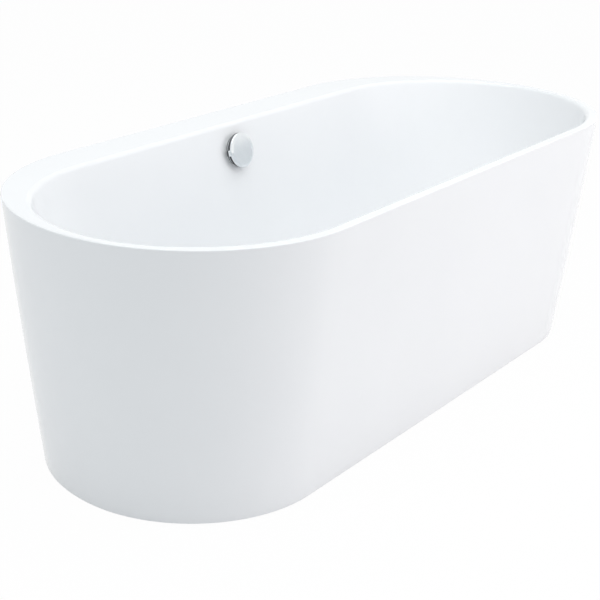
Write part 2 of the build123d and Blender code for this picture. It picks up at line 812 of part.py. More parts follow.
def knob_lug(inset, bottom, thickness):
    """Finger lug at the knob's side, a given distance inside the cap's own outline."""
    length = knob_diameter / 2 + knob_lug_reach - inset
    width = knob_lug_width - 2 * inset
    lug = Pos(-length / 2, 0, bottom) * Box(length, width, thickness, align=MIN_Z)
    return fillet(lug.edges().filter_by(Axis.Z).group_by(Axis.X)[0], knob_lug_reach / 4)


def make_overflow_knob():
    """Chromed cap of the turn knob: a hollow disc with a rounded front edge and a thin lug at its side."""
    cap_front = knob_seam() + knob_cap_thickness
    cap = rod(knob_diameter, knob_seam(), cap_front)
    cap = fillet(cap.edges().group_by(Axis.Z)[-1], knob_edge_round)
    cap += knob_lug(0, knob_seam(), knob_lug_thickness)
    return overflow_place * (cap - rod(knob_diameter - 2 * knob_rim, knob_seam(), cap_front - knob_cap_wall))


def make_knob_carrier():
    """Moulded carrier behind the cap: a rim with its lug, a web, a collar that holds the cap, and a hub."""
    inside = knob_diameter - 2 * knob_rim
    carrier = rod(knob_diameter - 2 * knob_carrier_inset, knob_stand_off, knob_seam())
    carrier += knob_lug(knob_carrier_inset, knob_stand_off, knob_carrier_thickness)
    carrier -= rod(inside, knob_stand_off, knob_seam() - knob_web)
    collar_diameter = inside - 2 * running_clearance
    collar_bore = collar_diameter - 2 * knob_collar_wall
    carrier += ring(collar_diameter, collar_bore, knob_seam(), knob_seam() + knob_collar_height)
    carrier += rod(knob_hub_diameter, knob_hub_back(), spindle_front() + knob_hub_cover)
    carrier -= rod(spindle_diameter + 2 * running_clearance, knob_hub_back(), spindle_front())
    return overflow_place * (carrier - grub_screw_path())


def knob_hub_back():
    """Back of the knob's hub, just clear of the overflow flange."""
    return overflow_flange_top + seat_gap


def spindle_front():
    """Front end of the spindle, inside the knob's hub."""
    return knob_hub_back() + spindle_engage


def grub_screw_place():
    """Where the grub screw starts, on the lower side of the spindle, pointing down the wall."""
    middle = knob_stand_off + knob_carrier_thickness / 2
    start = spindle_diameter / 2 + running_clearance
    return Pos(0, 0, middle) * down_the_wall(Pos(0, 0, start))


def grub_screw_path():
    """Hole for the grub screw through the hub, and the slot for its key at the foot of the rim."""
    width = grub_screw_diameter + 2 * running_clearance
    hole = rod(width, -running_clearance, knob_diameter / 2)
    slot_place = Pos(0, -knob_diameter / 2, knob_stand_off)
    slot = slot_place * Box(width, 3 * knob_rim, knob_carrier_thickness / 2, align=MIN_Z)
    return grub_screw_place() * hole + slot


def make_knob_grub_screw():
    """Small screw that fixes the knob on its spindle."""
    return overflow_place * grub_screw_place() * rod(grub_screw_diameter, 0, grub_screw_length)


def make_knob_spindle():
    """Brass spindle from the knob's hub back to the cable drum."""
    return overflow_place * rod(spindle_diameter, cable_drum_back, spindle_front())


def make_cable_drum():
    """Grooved drum that winds the cable's wire when the knob turns."""
    drum = rod(cable_drum_diameter, cable_drum_back, cable_drum_front)
    groove_width = cable_drum_width / 2
    groove_low = cable_drum_middle - groove_width / 2
    drum -= ring(
        cable_drum_diameter,
        cable_drum_diameter - 2 * cable_groove_depth,
        groove_low,
        groove_low + groove_width,
    )
    bore = rod(spindle_diameter + 2 * running_clearance, cable_drum_back, cable_drum_front)
    return overflow_place * (drum - bore)


# ---- Hose and cable between the overflow and the waste --------------------------------------------------
def on_the_wall(x, up, out):
    """A point given in the overflow's own frame, as a point of the bath."""
    return overflow_plane.from_local_coords(Vector(x, up, out))


def hose_route():
    """The hose's points, from the overflow's spigot down behind the basin and under the back rail."""
    inlet_z = waste_body_bottom + hose_inlet_height
    inlet_y = basin_mid_y + hose_inlet_reach
    rail_y = long_rail_y(1)
    spigot_end = on_the_wall(0, -overflow_spigot_reach, overflow_spigot_z)
    upper_run = (spigot_end.Z - floor_under - hose_corner_rise) / cos(wall_lean)
    return [
        spigot_end,
        on_the_wall(0, -overflow_spigot_reach - upper_run, overflow_spigot_z),
        Vector(0, rail_y + 127, floor_under + 2),
        Vector(0, rail_y + 47, inlet_z),
        Vector(0, inlet_y, inlet_z),
    ]


def cable_route():
    """The cable's points, from the drive cover down beside the hose and under the back rail."""
    sheath_end = cover_boss_start() + cable_boss_length - cable_socket_depth
    entry_x = -(waste_body_diameter - waste_body_wall) / 2 - cable_boss_length + cable_socket_depth
    entry = Vector(entry_x, basin_mid_y, cable_boss_z())
    rail_y = long_rail_y(1)
    return [
        on_the_wall(cable_exit_x, -sheath_end, cable_drum_middle),
        on_the_wall(cable_exit_x, -sheath_end - cable_upper_run, cable_drum_middle),
        Vector(-38, overflow_y + 14, overflow_z - 130),
        Vector(-64, overflow_y - 5, overflow_z - 192),
        Vector(-92, overflow_y - 20, overflow_z - 260),
        Vector(-120, rail_y + 153, long_rail_under + 77),
        Vector(-142, rail_y + 109, long_rail_under + 25),
        Vector(-150, rail_y + 45, long_rail_under - 11),
        Vector(-150, rail_y - 51, long_rail_under - 11),
        Vector(entry_x - cable_lower_run, basin_mid_y, entry.Z),
        entry,
    ]


def turn_radii(points):
    """A radius for each corner, as large as its two runs allow."""
    radii = []
    for before, corner, after in zip(points, points[1:], points[2:]):
        arriving = corner - before
        leaving = after - corner
        half_turn = radians(arriving.get_angle(leaving)) / 2
        radii.append(0.45 * min(arriving.length, leaving.length) / tan(half_turn))
    return radii


def tube_along(points, diameter):
    """A round solid along straight runs that are joined by tangent arcs."""
    radii = turn_radii(points)
    path = FilletPolyline(*points, radius=radii)
    start = Plane(origin=points[0], z_dir=points[1] - points[0])
    return sweep(start * Circle(diameter / 2), path)


def make_overflow_hose():
    """Flexible hose from the overflow body to the waste body."""
    return tube_along(hose_route(), hose_diameter) - tube_along(hose_route(), hose_bore)


def make_hose_upper_nut():
    """Union nut on the hose's upper end."""
    nut = down_the_wall(union_nut(hose_spigot_diameter, hose_diameter))
    return overflow_place * Pos(0, -overflow_spigot_reach, overflow_spigot_z) * nut


def make_hose_lower_nut():
    """Union nut on the hose's lower end."""
    nut = along_y(union_nut(hose_spigot_diameter, hose_diameter))
    return waste_place * Pos(0, hose_inlet_reach, waste_body_bottom + hose_inlet_height) * nut


def make_control_cable():
    """Sheathed cable that carries the knob's turn to the lever under the plug."""
    return tube_along(cable_route(), cable_diameter)


def make_cable_clip():
    """Moulded saddle under the back long rail that holds the cable."""
    under_rail = cable_route()[-3]
    bottom = under_rail.Z - cable_diameter / 2 - cable_clip_wall
    width = cable_diameter + 2 * cable_clip_wall
    clip = Pos(under_rail.X, long_rail_y(1), bottom) * Box(
        width, cable_clip_length, long_rail_under - bottom, align=MIN_Z
    )
    channel = along_y(rod(cable_diameter + 4 * fixing_clearance, -cable_clip_length, cable_clip_length))
    return clip - Pos(under_rail.X, long_rail_y(1), under_rail.Z) * channel


# ---- All nodes ------------------------------------------------------------------------------------------
ends = {"left": -1, "right": 1}
sides = {"front": -1, "back": 1}

nodes = {
    "basin_shell": make_basin_shell(),
    "outer_skirt": make_outer_skirt(),
    "base_board": make_base_board(),
    "board_screws": make_board_screws(),
    "skirt_brackets": make_skirt_brackets(),
    "bracket_screws": make_bracket_screws(),
    "foot_weld_nuts": make_foot_nuts(weld_nut_height, cross_rail_under),
    "foot_lock_nuts": make_foot_nuts(lock_nut_height, cross_rail_under - weld_nut_height),
    "waste_flange": make_waste_flange(),
    "waste_upper_seal": make_waste_upper_seal(),
    "waste_lower_seal": make_waste_lower_seal(),
    "waste_body": make_waste_body(),
    "lever_pin": make_lever_pin(),
    "lift_lever": make_lift_lever(),
    "drain_plug": make_drain_plug(),
    "plug_seal": make_plug_seal(),
    "plug_stem": make_plug_stem(),
    "trap_inlet_nut": make_trap_inlet_nut(),
    "trap_head": make_trap_head(),
    "trap_seal": make_trap_seal(),
    "trap_bowl": make_trap_bowl(),
    "outlet_nut": make_outlet_nut(),
    "outlet_elbow": make_outlet_elbow(),
    "overflow_flange": make_overflow_flange(),
    "overflow_inner_seal": make_overflow_inner_seal(),
    "overflow_outer_seal": make_overflow_outer_seal(),
    "overflow_body": make_overflow_body(),
    "drive_cover": make_drive_cover(),
    "overflow_knob": make_overflow_knob(),
    "knob_carrier": make_knob_carrier(),
    "knob_grub_screw": make_knob_grub_screw(),
    "knob_spindle": make_knob_spindle(),
    "cable_drum": make_cable_drum(),
    "overflow_hose": make_overflow_hose(),
    "hose_upper_nut": make_hose_upper_nut(),
    "hose_lower_nut": make_hose_lower_nut(),
    "control_cable": make_control_cable(),
    "cable_clip": make_cable_clip(),
}
for side_name, side_sign in sides.items():
    nodes[f"long_rail_{side_name}"] = make_long_rail(side_sign)
for end_name, end_sign in ends.items():
    nodes[f"cross_rail_{end_name}"] = make_cross_rail(end_sign)
    for side_name, side_sign in sides.items():
        nodes[f"foot_stud_{side_name}_{end_name}"] = make_foot_stud(end_sign, side_sign)
        nodes[f"foot_pad_{side_name}_{end_name}"] = make_foot_pad(end_sign, side_sign)

for route_name, route in (("hose", hose_route()), ("cable", cable_route())):
    print(route_name, "radii", [round(radius) for radius in turn_radii(route)])

os.makedirs("parts", exist_ok=True)
for node_name, body in nodes.items():
    export_step(body, f"parts/{node_name}.step")
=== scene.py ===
import json
from math import atan2, cos, pi, radians, sin, sqrt, tan

import bmesh
import bpy
from mathutils import Euler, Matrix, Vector


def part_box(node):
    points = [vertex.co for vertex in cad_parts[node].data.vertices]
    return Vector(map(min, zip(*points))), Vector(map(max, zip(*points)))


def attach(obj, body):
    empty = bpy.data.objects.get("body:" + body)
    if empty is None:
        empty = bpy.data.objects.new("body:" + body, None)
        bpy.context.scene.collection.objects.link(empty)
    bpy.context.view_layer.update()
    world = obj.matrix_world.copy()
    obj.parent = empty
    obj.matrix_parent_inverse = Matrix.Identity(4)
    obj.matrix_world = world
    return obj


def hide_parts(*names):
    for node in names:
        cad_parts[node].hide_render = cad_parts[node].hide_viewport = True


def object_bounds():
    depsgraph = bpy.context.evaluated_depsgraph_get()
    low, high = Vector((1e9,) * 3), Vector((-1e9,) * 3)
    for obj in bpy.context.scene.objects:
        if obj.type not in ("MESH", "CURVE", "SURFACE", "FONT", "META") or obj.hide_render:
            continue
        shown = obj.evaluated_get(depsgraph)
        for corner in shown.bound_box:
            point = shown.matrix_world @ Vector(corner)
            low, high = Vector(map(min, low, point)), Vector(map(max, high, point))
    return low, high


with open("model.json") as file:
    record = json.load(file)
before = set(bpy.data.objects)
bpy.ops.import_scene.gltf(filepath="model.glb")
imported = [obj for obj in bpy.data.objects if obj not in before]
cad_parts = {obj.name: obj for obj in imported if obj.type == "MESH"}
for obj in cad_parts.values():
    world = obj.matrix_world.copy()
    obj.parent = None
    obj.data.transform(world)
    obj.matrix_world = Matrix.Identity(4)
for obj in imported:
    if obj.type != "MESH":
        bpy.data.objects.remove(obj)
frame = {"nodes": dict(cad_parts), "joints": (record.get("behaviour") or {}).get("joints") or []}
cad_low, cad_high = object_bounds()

# ---- Camera -------------------------------------------------------------------------------------------
# A short telephoto lens stands a little above the rim, beyond the left end and in front of the bath, and
# looks down along it.
camera_data = bpy.data.cameras.new("camera")
camera_data.lens = 84.11
camera_data.sensor_width = 36
camera = bpy.data.objects.new("camera", camera_data)
camera_heading = radians(34.796)  # from +X towards +Y
camera_tilt = radians(20.513)  # below the horizon
camera_roll = radians(1.596)
camera.location = (-2.5041, -1.6709, 1.3127)
look = Euler((pi / 2 - camera_tilt, 0, camera_heading - pi / 2)).to_matrix()
camera.rotation_euler = (look @ Euler((0, 0, camera_roll)).to_matrix()).to_euler()
bpy.context.scene.collection.objects.link(camera)
bpy.context.scene.camera = camera
bpy.context.scene.view_settings.view_transform = "Standard"

# ---- Studio -------------------------------------------------------------------------------------------
# A white sweep with soft boxes: one overhead, a low and a high one along the front long side, a high one
# beyond the right end and one beyond the left end. The room around them gives an even, weaker light.
room_grey = (0.42, 0.45, 0.465, 1)
backdrop_white = (0.985, 0.985, 0.985, 1)
floor_white = (0.86, 0.86, 0.865, 1)
floor_glow = 0.975  # share of plain white that the camera and the gloss see in the floor
floor_size = 40


def nodes_of(material):
    """Empty node tree of a material, with its output."""
    material.use_nodes = True
    tree = material.node_tree
    tree.nodes.clear()
    return tree, tree.nodes.new("ShaderNodeOutputMaterial")


def seen_directly(tree):
    """1 for rays from the camera, from gloss or through clear material, and 0 for all others."""
    path = tree.nodes.new("ShaderNodeLightPath")
    seen = path.outputs["Is Camera Ray"]
    for kind in ("Is Glossy Ray", "Is Transmission Ray"):
        either = tree.nodes.new("ShaderNodeMath")
        either.operation = "MAXIMUM"
        tree.links.new(seen, either.inputs[0])
        tree.links.new(path.outputs[kind], either.inputs[1])
        seen = either.outputs[0]
    return seen


floor_material = bpy.data.materials.new("studio_floor")
tree, output = nodes_of(floor_material)
painted = tree.nodes.new("ShaderNodeBsdfDiffuse")
painted.inputs["Color"].default_value = floor_white
glow = tree.nodes.new("ShaderNodeEmission")
share = tree.nodes.new("ShaderNodeMath")
share.operation = "MULTIPLY"
share.inputs[1].default_value = floor_glow
blend = tree.nodes.new("ShaderNodeMixShader")
tree.links.new(seen_directly(tree), share.inputs[0])
tree.links.new(share.outputs[0], blend.inputs["Fac"])
tree.links.new(painted.outputs["BSDF"], blend.inputs[1])
tree.links.new(glow.outputs["Emission"], blend.inputs[2])
tree.links.new(blend.outputs["Shader"], output.inputs["Surface"])

bpy.ops.object.select_all(action="DESELECT")
bpy.ops.mesh.primitive_plane_add(size=floor_size, location=(0, 0, 0))
floor = bpy.context.object
floor.name = "studio_floor"
floor.data.materials.append(floor_material)

world = bpy.data.worlds.new("studio_room")
bpy.context.scene.world = world
world.use_nodes = True
tree = world.node_tree
tree.nodes.clear()
room = tree.nodes.new("ShaderNodeBackground")
room.inputs["Color"].default_value = room_grey
backdrop = tree.nodes.new("ShaderNodeBackground")
backdrop.inputs["Color"].default_value = backdrop_white
blend = tree.nodes.new("ShaderNodeMixShader")
output = tree.nodes.new("ShaderNodeOutputWorld")
tree.links.new(seen_directly(tree), blend.inputs["Fac"])
tree.links.new(room.outputs["Background"], blend.inputs[1])
tree.links.new(backdrop.outputs["Background"], blend.inputs[2])
tree.links.new(blend.outputs["Shader"], output.inputs["Surface"])


def soft_box(name, place, aim, width, height, power, tint=(1, 1, 1), mirrored=True):
    """Rectangular soft light at a place, turned towards a point, seen in the gloss or not."""
    lamp = bpy.data.lights.new(name, "AREA")
    lamp.shape = "RECTANGLE"
    lamp.size = width
    lamp.size_y = height
    lamp.energy = power
    lamp.color = tint
    box = bpy.data.objects.new(name, lamp)
    box.location = place
    box.rotation_euler = (Vector(aim) - Vector(place)).to_track_quat("-Z", "Y").to_euler()
    box.visible_camera = False
    box.visible_glossy = mirrored
    bpy.context.scene.collection.objects.link(box)


soft_box("overhead_box", (0, 0, 3.4), (0, 0, 0), width=3.6, height=2.6, power=45.5)
soft_box(
    "front_box",
    (1.4, -3.6, 0.9),
    (0.1, 0, 0.3),
    width=3.2,
    height=1.8,
    power=28.5,
    tint=(1, 0.88, 0.875),
    mirrored=False,
)
soft_box(
    "high_front_box", (0, -2.2, 2.6), (0, 0, 0.3), width=2.4, height=1.8, power=20.5, mirrored=False
)
soft_box(
    "high_right_box", (2, -2, 2.6), (0.2, 0, 0.3), width=2.0, height=1.8, power=10.7, mirrored=False
)
soft_box(
    "left_box", (-3.6, 0.9, 2.2), (-0.3, 0, 0.3), width=2.0, height=1.8, power=23.8, mirrored=False
)

# ---- Inner bath ---------------------------------------------------------------------------------------
# The bath itself is one sheet of white acrylic, drawn into a mould while hot and backed with resin. It
# has a flat rim that widens to a ledge at the back, a rounded mouth, leaning walls and a softly rounded
# floor with a shallow recess for the waste.
facet_loss = 0.00036  # what the plain model's flat facets cut off its round outline
rim_half_length = cad_high.x + facet_loss
rim_half_width = cad_high.y + facet_loss
rim_top = cad_high.z
rim_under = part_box("outer_skirt")[1].z
skirt_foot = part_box("outer_skirt")[0].z
rim_mid_y = -0.028  # the ends reach furthest on this line
front_corner = 0.346  # length along X of the rounding at the front corners
back_corner = 0.394
taper = 0.062  # the foot of the skirt lies this far inside the rim
rim_round = 0.003
rim_steps = 5

basin_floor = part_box("waste_flange")[1].z
basin_depth = rim_top - basin_floor
basin_half_length = 0.825
basin_half_width = 0.313
basin_mid_y = -0.037
basin_wall = 0.007
basin_corner = 0.33  # length along X of the rounded ends at the mouth
floor_corner = 0.215  # and at the floor
end_run = 0.18  # how far the end walls lean out
side_run = 0.1  # how far the long walls lean out
mouth_round = 0.012
floor_round = 0.1
mouth_steps = 8
wall_steps = 10
floor_steps = 14
ring_points = 256

recess_radius = 0.044
recess_edge = 0.001
recess_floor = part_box("waste_upper_seal")[0].z
waste_hole_radius = 0.026
overflow_hole_radius = 0.026
saw_length = 0.06  # of the hole saw for the overflow
saw_sides = 96

noise_low, noise_high = 0.3, 0.7  # most of a noise pattern lies between these


def ring(z, half_length, front_y, back_y, mid_y, front_reach, back_reach):
    """Draws the last ring out to a new one, with straight long sides and quarter-ellipse corners."""
    data = bpy.context.object.data
    if not bmesh.from_edit_mesh(data).verts:
        bpy.ops.mesh.primitive_circle_add(
            vertices=ring_points, radius=1, fill_type="NOTHING", rotation=(0, 0, pi / ring_points)
        )
        mesh = bmesh.from_edit_mesh(data)
        turn = mesh.verts.layers.float.new("turn")
        for corner in mesh.verts:
            corner[turn] = atan2(corner.co.y, corner.co.x)
    else:
        bpy.ops.mesh.extrude_edges_move()
    mesh = bmesh.from_edit_mesh(data)
    turn = mesh.verts.layers.float["turn"]
    for corner in mesh.verts:
        if corner.select:
            along, across = cos(corner[turn]), sin(corner[turn])
            reach = front_reach if across < 0 else back_reach
            half = mid_y - front_y if across < 0 else back_y - mid_y
            straight = half_length - reach
            end_x = straight if along > 0 else -straight
            corner.co = (reach * along + end_x, mid_y + half * across, z)
    bmesh.update_edit_mesh(data)


def rim_ring(z, inset):
    """Ring on the bath's outside at height z, a given distance inside the rim's own outline."""
    ring(
        z,
        rim_half_length - inset,
        inset - rim_half_width,
        rim_half_width - inset,
        rim_mid_y,
        front_corner - inset,
        back_corner - inset,
    )


def drawn_in(z):
    """How far the outside has tapered in at height z."""
    return taper * (rim_top - z) / (rim_top - skirt_foot)


def wall_place(z, half_at_mouth, run):
    """Distance from the basin's middle to its wall at height z, with the floor and the mouth rounded."""
    lean = atan2(run, basin_depth)
    along_arc = tan((pi / 2 - lean) / 2)
    floor_middle = half_at_mouth - run - floor_round * along_arc
    rise = z - basin_floor
    if rise < floor_round * (1 - sin(lean)):
        return floor_middle + sqrt(max(floor_round**2 - (floor_round - rise) ** 2, 0))
    mouth_middle = half_at_mouth + mouth_round * along_arc
    above = z - (rim_top - mouth_round)
    if above > mouth_round * sin(lean):
        return mouth_middle - sqrt(max(mouth_round**2 - above**2, 0))
    return half_at_mouth - run * (rim_top - z) / basin_depth


def basin_ring(z):
    """Ring on the inside of the basin at height z."""
    share_down = (rim_top - z) / basin_depth
    half_width = wall_place(z, basin_half_width, side_run)
    half_length = wall_place(z, basin_half_length, end_run)
    straight_mouth = basin_half_length - basin_corner
    straight_floor = basin_half_length - end_run - floor_corner
    straight = straight_mouth + (straight_floor - straight_mouth) * share_down
    reach = half_length - straight
    ring(z, half_length, basin_mid_y - half_width, basin_mid_y + half_width, basin_mid_y, reach, reach)


def pick(piece):
    """Makes a piece the only selected object and the active one."""
    bpy.ops.object.select_all(action="DESELECT")
    piece.select_set(True)
    bpy.context.view_layer.objects.active = piece


def start_mesh(name):
    """A new empty mesh object, in edit mode."""
    piece = bpy.data.objects.new(name, bpy.data.meshes.new(name))
    bpy.context.scene.collection.objects.link(piece)
    pick(piece)
    bpy.ops.object.mode_set(mode="EDIT")
    return piece


def end_mesh():
    """Turns all faces of the mesh in edit mode outwards and leaves that mode."""
    bpy.ops.mesh.select_all(action="SELECT")
    bpy.ops.mesh.normals_make_consistent(inside=False)
    bpy.ops.object.mode_set(mode="OBJECT")


def apply_modifier(piece, kind, **settings):
    """Adds a modifier with these settings and applies it."""
    bpy.context.view_layer.objects.active = piece
    modifier = piece.modifiers.new(kind.lower(), kind)
    for key, value in settings.items():
        setattr(modifier, key, value)
    bpy.ops.object.modifier_apply(modifier=modifier.name)


def smooth(piece, angle=35):
    """Smooth shading between faces that meet at less than an angle, with flat faces kept flat."""
    pick(piece)
    bpy.ops.object.shade_smooth_by_angle(angle=radians(angle))
    apply_modifier(piece, "WEIGHTED_NORMAL", keep_sharp=True, weight=60)


def noise(tree, scale, detail=2.0):
    """Cloudy pattern on the piece's own coordinates, from 0 to 1."""
    place = tree.nodes.new("ShaderNodeTexCoord")
    pattern = tree.nodes.new("ShaderNodeTexNoise")
    pattern.inputs["Scale"].default_value = scale
    pattern.inputs["Detail"].default_value = detail
    tree.links.new(place.outputs["Object"], pattern.inputs["Vector"])
    return pattern.outputs["Fac"]


def spread(tree, value, low, high):
    """A 0 to 1 pattern, from its usual middle range to a range of numbers."""
    scale = tree.nodes.new("ShaderNodeMapRange")
    scale.inputs["From Min"].default_value = noise_low
    scale.inputs["From Max"].default_value = noise_high
    scale.inputs["To Min"].default_value = low
    scale.inputs["To Max"].default_value = high
    tree.links.new(value, scale.inputs["Value"])
    return scale.outputs["Result"]


def between(tree, value, first, second):
    """Colour between two colours, by a pattern."""
    ramp = tree.nodes.new("ShaderNodeValToRGB")
    ramp.color_ramp.elements[0].position = noise_low
    ramp.color_ramp.elements[0].color = (*first, 1)
    ramp.color_ramp.elements[1].position = noise_high
    ramp.color_ramp.elements[1].color = (*second, 1)
    tree.links.new(value, ramp.inputs["Fac"])
    return ramp.outputs["Color"]


def bump(tree, shader, height, strength, distance):
    """Raises the surface of a shader by a pattern."""
    relief = tree.nodes.new("ShaderNodeBump")
    relief.inputs["Strength"].default_value = strength
    relief.inputs["Distance"].default_value = distance
    tree.links.new(height, relief.inputs["Height"])
    tree.links.new(relief.outputs["Normal"], shader.inputs["Normal"])


def surface(name, metallic=0.0):
    """A new material with one main shader."""
    material = bpy.data.materials.new(name)
    tree, output = nodes_of(material)
    shader = tree.nodes.new("ShaderNodeBsdfPrincipled")
    shader.inputs["Metallic"].default_value = metallic
    tree.links.new(shader.outputs["BSDF"], output.inputs["Surface"])
    return material, tree, shader


def white_acrylic(name):
    """Polished sanitary acrylic: even white, deep gloss and the faint waviness of a drawn sheet."""
    material, tree, shader = surface(name)
    cloud = noise(tree, scale=3)
    white = between(tree, cloud, (0.885, 0.893, 0.905), (0.900, 0.907, 0.917))
    tree.links.new(white, shader.inputs["Base Color"])
    tree.links.new(spread(tree, noise(tree, scale=9), 0.10, 0.16), shader.inputs["Roughness"])
    shader.inputs["IOR"].default_value = 1.42
    bump(tree, shader, noise(tree, scale=14, detail=1), strength=0.08, distance=0.0004)
    return material


bath = start_mesh("bath_shell")
rim_ring(rim_under, drawn_in(rim_under))
rim_ring(rim_top - rim_round, drawn_in(rim_top - rim_round))
for step in range(1, rim_steps + 1):
    angle = step / rim_steps * pi / 2
    rise = rim_round * sin(angle)
    rim_ring(rim_top - rim_round + rise, drawn_in(rim_top) + rim_round * (1 - cos(angle)))
for step in range(mouth_steps + 1):
    angle = pi / 2 * (1 - step / mouth_steps)
    basin_ring(rim_top - mouth_round + mouth_round * sin(angle))
wall_top = rim_top - mouth_round
wall_bottom = basin_floor + floor_round
for step in range(1, wall_steps):
    basin_ring(wall_top + (wall_bottom - wall_top) * step / wall_steps)
for step in range(floor_steps + 1):
    angle = pi / 2 * step / floor_steps
    basin_ring(basin_floor + floor_round * (1 - sin(angle)))
recess_steps = (
    (recess_radius + recess_edge, basin_floor),
    (recess_radius, basin_floor - recess_edge),
    (recess_radius, recess_floor),
    (waste_hole_radius, recess_floor),
)
for radius, level in recess_steps:
    ring(level, radius, basin_mid_y - radius, basin_mid_y + radius, basin_mid_y, radius, radius)
end_mesh()

# The sheet gets its thickness downwards and outwards. The overflow's hole is sawn through the back wall.
apply_modifier(bath, "SOLIDIFY", thickness=basin_wall, offset=-1, use_even_offset=True)
knob_joint = next(joint for joint in frame["joints"] if joint["name"] == "knob_turn")
knob_middle = Vector(knob_joint["pos_m"])
wall_normal = -Vector(knob_joint["axis"]).normalized()
wall_turn = wall_normal.to_track_quat("Z", "Y").to_euler()
bpy.ops.object.select_all(action="DESELECT")
bpy.ops.mesh.primitive_cylinder_add(
    vertices=saw_sides,
    radius=overflow_hole_radius,
    depth=saw_length,
    location=knob_middle,
    rotation=wall_turn,
)
saw = bpy.context.object
apply_modifier(bath, "BOOLEAN", operation="DIFFERENCE", object=saw, solver="EXACT")
bpy.data.objects.remove(saw)
smooth(bath)
bath.data.materials.append(white_acrylic("bath_white"))
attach(bath, "bath")
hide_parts("basin_shell")

# ---- Outer skirt --------------------------------------------------------------------------------------
# The apron round the bath is one more acrylic moulding. It leans in evenly towards the floor, bellies
# out a hair between its edges as a drawn sheet does, and is bonded up under the rim with no visible
# joint.
skirt_wall = 0.008
skirt_belly = 0.0016
skirt_steps = 16

skirt = start_mesh("skirt_shell")
for step in range(skirt_steps + 1):
    share = step / skirt_steps
    level = rim_under + (skirt_foot - rim_under) * share
    bow = 4 * share * (1 - share)  # 0 at both edges and 1 halfway
    rim_ring(level, drawn_in(level) - skirt_belly * bow)
end_mesh()
apply_modifier(skirt, "SOLIDIFY", thickness=skirt_wall, offset=-1, use_even_offset=True)
smooth(skirt)
skirt.data.materials.append(white_acrylic("skirt_white"))
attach(skirt, "bath")
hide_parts("outer_skirt")

# ---- Turn knob ----------------------------------------------------------------------------------------
# The knob hides the overflow and works the plug. Its front is a hollow brass cap, polished and chromed,
# with a flat face, a wide shallow bevel, a thin finger lug and a dimple as its mark. The cap is pressed
# on a moulded carrier whose near-black colour is painted shade along the knob's back edge.
knob_radius = 0.040
knob_seam = 0.015  # above the basin's wall, where the cap lies on the carrier
knob_front = 0.021
knob_bevel = 0.006
knob_bevel_height = 0.0022
knob_softness = 0.0008  # of the edges on both sides of the bevel
softness_steps = 4
knob_rim = 0.005
knob_pocket = 0.003
knob_sides = 128
lug_width = 0.014
lug_reach = 0.007
lug_thickness = 0.0016
lug_root = 0.004  # how far the lug runs on into the rim
lug_corner = 0.00175
corner_steps = 6
lug_edge = 0.0004
edge_steps = 3
mark_place = 0.031  # from the knob's middle out to the mark on its face
mark_radius = 0.0017
mark_depth = 0.001
mark_segments = 32
level_slack = 1e-5  # edges this close to a level lie on it
level_facing = 0.9  # faces whose normal rises or falls by more than this lie level


def chrome(name):
    """Polished chrome plate with the faintest wiping marks."""
    material, tree, shader = surface(name, metallic=1.0)
    tint = between(tree, noise(tree, scale=40), (0.82, 0.85, 0.87), (0.86, 0.89, 0.905))
    tree.links.new(tint, shader.inputs["Base Color"])
    tree.links.new(spread(tree, noise(tree, scale=90, detail=4), 0.09, 0.15), shader.inputs["Roughness"])
    bump(tree, shader, noise(tree, scale=60, detail=1), strength=0.05, distance=0.0002)
    return material


def select_faces(test):
    """Selects only those faces of the mesh in edit mode whose middle and normal pass a test."""
    mesh = bmesh.from_edit_mesh(bpy.context.object.data)
    bpy.ops.mesh.select_all(action="DESELECT")
    for face in mesh.faces:
        face.select_set(test(face.calc_center_median(), face.normal))
    bmesh.update_edit_mesh(bpy.context.object.data)


def select_edges(test):
    """Selects only those edges of the mesh in edit mode whose two ends pass a test."""
    mesh = bmesh.from_edit_mesh(bpy.context.object.data)
    bpy.ops.mesh.select_all(action="DESELECT")
    for edge in mesh.edges:
        edge.select_set(test(*(end.co for end in edge.verts)))
    bmesh.update_edit_mesh(bpy.context.object.data)


def settle(piece):
    """Puts a piece's place and turn into its mesh, so that its object stands at the origin."""
    pick(piece)
    bpy.ops.object.transform_apply(location=True, rotation=True, scale=True)


bpy.ops.object.select_all(action="DESELECT")
knob_side_top = knob_front - knob_bevel_height
knob_level = (knob_side_top + knob_seam) / 2
bpy.ops.mesh.primitive_cylinder_add(
    vertices=knob_sides,
    radius=knob_radius,
    depth=knob_side_top - knob_seam,
    location=(0, 0, knob_level),
)
knob = bpy.context.object
knob.name = "turn_knob"
settle(knob)
bpy.ops.object.mode_set(mode="EDIT")
bpy.context.tool_settings.mesh_select_mode = (False, False, True)
select_faces(lambda middle, normal: normal.z > level_facing)
bpy.ops.mesh.extrude_region_move(TRANSFORM_OT_translate={"value": (0, 0, knob_bevel_height)})
face_share = 1 - knob_bevel / knob_radius
bpy.ops.transform.resize(value=(face_share, face_share, 1), center_override=(0, 0, knob_front))
bpy.context.tool_settings.mesh_select_mode = (False, True, False)
for ring_level in (knob_front, knob_side_top):
    select_edges(lambda *ends: all(abs(end.z - ring_level) < level_slack for end in ends))
    bpy.ops.mesh.bevel(offset=knob_softness, segments=softness_steps)
bpy.context.tool_settings.mesh_select_mode = (False, False, True)
select_faces(lambda middle, normal: normal.z < -level_facing)
bpy.ops.mesh.inset(thickness=knob_rim)
bpy.ops.mesh.extrude_region_move(TRANSFORM_OT_translate={"value": (0, 0, knob_pocket)})
bpy.ops.object.mode_set(mode="OBJECT")

